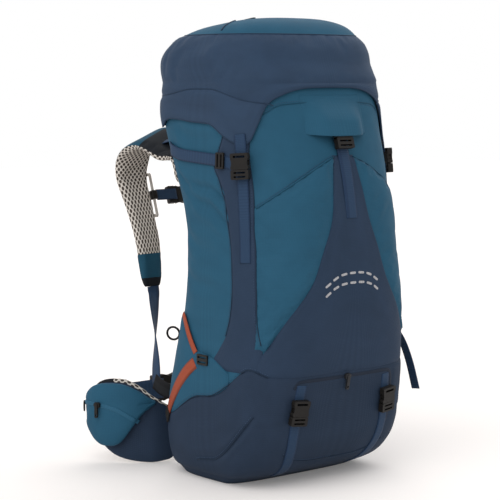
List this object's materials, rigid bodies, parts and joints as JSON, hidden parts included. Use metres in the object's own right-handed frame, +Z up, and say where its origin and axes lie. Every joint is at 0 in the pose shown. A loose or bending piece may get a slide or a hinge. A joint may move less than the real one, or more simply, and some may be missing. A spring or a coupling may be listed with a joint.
{
  "type": "travel backpack",
  "caption": "Tall top-loading travel backpack with a flip-up lid, framed airy back, padded shoulder harness and hip belt, zipped base, and webbing closed by side-release buckles.",
  "frame": {"origin": "on the ground under the middle of the base, where the base face rests", "axes": "+Z up to the lid, -Y out of the front of the bag, +Y to the wearer's back, +X to the bag's right as worn"},
  "size_m": [0.4655, 0.5258, 0.7832],
  "materials": {
    "teal_nylon": "matt woven",
    "navy_nylon": "matt woven",
    "spacer_mesh": "open mesh",
    "navy_webbing": "ribbed weave",
    "black_webbing": "ribbed weave",
    "orange_webbing": "ribbed weave",
    "black_acetal": "moulded satin",
    "zip_tape": "coated coil zip",
    "zip_metal": "painted satin",
    "frame_alloy": "brushed"
  },
  "bodies": {
    "bag": {"anchor_tabs": "black_webbing", "back_mesh": "spacer_mesh", "base_boot": "navy_nylon", "base_zip": "zip_tape", "cinch_straps": "orange_webbing", "collar_cord_lock": "black_acetal", "extension_collar": "navy_nylon", "frame_cross_bars": "frame_alloy", "frame_top_bow": "frame_alloy", "front_hood": "teal_nylon", "front_pocket": "navy_nylon", "front_sockets": "black_acetal", "front_strap": "navy_webbing", "ladder_locks": "black_acetal", "left_corner_panel": "navy_nylon", "left_frame_stay": "frame_alloy", "left_shoulder_strap": "teal_nylon", "left_side_pocket": "teal_nylon", "lid_strap_bottoms": "navy_webbing", "load_lifters": "navy_webbing", "lumbar_pad": "spacer_mesh", "main_bag": "teal_nylon", "pole_loop": "black_webbing", "right_corner_panel": "navy_nylon", "right_frame_stay": "frame_alloy", "right_shoulder_strap": "teal_nylon", "right_side_pocket": "teal_nylon", "shoulder_yoke": "spacer_mesh", "side_straps": "navy_webbing", "sternum_rails": "black_acetal", "strap_tail": "navy_webbing", "strap_webbing": "navy_webbing"},
    "lid": {"lid": "navy_nylon", "lid_rear_straps": "navy_webbing", "lid_loops": "black_webbing", "lid_zip": "zip_tape", "lid_strap_tops": "navy_webbing", "lid_sockets": "black_acetal"},
    "lid_zip_slider": {"lid_zip_slider": "zip_metal"},
    "left_lid_plug": {"left_lid_plug": "black_acetal"},
    "right_lid_plug": {"right_lid_plug": "black_acetal"},
    "front_plug": {"front_plug": "black_acetal"},
    "left_pad_plug": {"left_pad_plug": "black_acetal"},
    "right_pad_plug": {"right_pad_plug": "black_acetal"},
    "sternum": {"sternum_strap": "navy_webbing", "sternum_socket": "black_acetal"},
    "sternum_plug": {"sternum_plug": "black_acetal"},
    "belt_left": {"left_belt_wing": "navy_nylon", "left_belt_pocket": "teal_nylon", "left_belt_webbing": "navy_webbing"},
    "belt_right": {"right_belt_wing": "navy_nylon", "right_belt_pocket": "teal_nylon", "right_belt_webbing": "navy_webbing", "belt_socket": "black_acetal"},
    "belt_plug": {"belt_plug": "black_acetal"},
    "left_belt_zip_slider": {"left_belt_zip_slider": "black_acetal"},
    "right_belt_zip_slider": {"right_belt_zip_slider": "black_acetal"},
    "base_zip_slider": {"base_zip_slider": "zip_metal"},
    "haul_loop": {"haul_loop": "black_webbing"},
    "cord_lock_button": {"cord_lock_button": "black_acetal"}
  },
  "joints": [
    {"name": "lid_hinge", "type": "hinge", "parent": "bag", "child": "lid", "pos_m": [0, 0.18184, 0.6], "axis": [-1, 0, 0], "range_deg": [0, 90]},
    {"name": "left_lid_buckle", "type": "slide", "parent": "bag", "child": "left_lid_plug", "axis": [-0.0157, -0.086, -0.9962], "range_m": [0, 0.025]},
    {"name": "right_lid_buckle", "type": "slide", "parent": "bag", "child": "right_lid_plug", "axis": [0.0157, -0.086, -0.9962], "range_m": [0, 0.025]},
    {"name": "front_buckle", "type": "slide", "parent": "bag", "child": "front_plug", "axis": [0, -0.2668, -0.9637], "range_m": [0, 0.028]},
    {"name": "left_base_buckle", "type": "slide", "parent": "bag", "child": "left_pad_plug", "axis": [-0.0561, 0.1665, -0.9844], "range_m": [0, 0.025]},
    {"name": "right_base_buckle", "type": "slide", "parent": "bag", "child": "right_pad_plug", "axis": [0.0561, 0.1665, -0.9844], "range_m": [0, 0.025]},
    {"name": "sternum_slide", "type": "slide", "parent": "bag", "child": "sternum", "axis": [0, -0.2991, -0.9542], "range_m": [-0.018, 0.018]},
    {"name": "sternum_buckle", "type": "slide", "parent": "sternum", "child": "sternum_plug", "axis": [-1, 0, 0], "range_m": [0, 0.022]},
    {"name": "left_belt_swing", "type": "hinge", "parent": "bag", "child": "belt_left", "pos_m": [-0.1005, 0.18066, 0.054], "axis": [0, 0, 1], "range_deg": [0, 30]},
    {"name": "right_belt_swing", "type": "hinge", "parent": "bag", "child": "belt_right", "pos_m": [0.1005, 0.18066, 0.054], "axis": [0, 0, -1], "range_deg": [0, 30]},
    {"name": "belt_buckle", "type": "slide", "parent": "belt_left", "child": "belt_plug", "axis": [-1, 0, 0], "range_m": [0, 0.03]},
    {"name": "left_pocket_zip", "type": "slide", "parent": "belt_left", "child": "left_belt_zip_slider", "axis": [-0.2499, 0.9683, 0], "range_m": [-0.012, 0.012]},
    {"name": "right_pocket_zip", "type": "slide", "parent": "belt_right", "child": "right_belt_zip_slider", "axis": [0.2499, 0.9683, 0], "range_m": [-0.012, 0.012]},
    {"name": "base_zip_pull", "type": "slide", "parent": "bag", "child": "base_zip_slider", "axis": [1, 0, 0], "range_m": [-0.055, 0.055]},
    {"name": "lid_zip_pull", "type": "slide", "parent": "lid", "child": "lid_zip_slider", "axis": [1, 0, 0], "range_m": [-0.018, 0.072]},
    {"name": "haul_loop_swing", "type": "hinge", "parent": "bag", "child": "haul_loop", "pos_m": [0, 0.16383, 0.5802], "axis": [1, 0, 0], "range_deg": [0, 40]},
    {"name": "cord_lock_press", "type": "slide", "parent": "bag", "child": "cord_lock_button", "axis": [0, 0, -1], "range_m": [0, 0.004]}
  ]
}
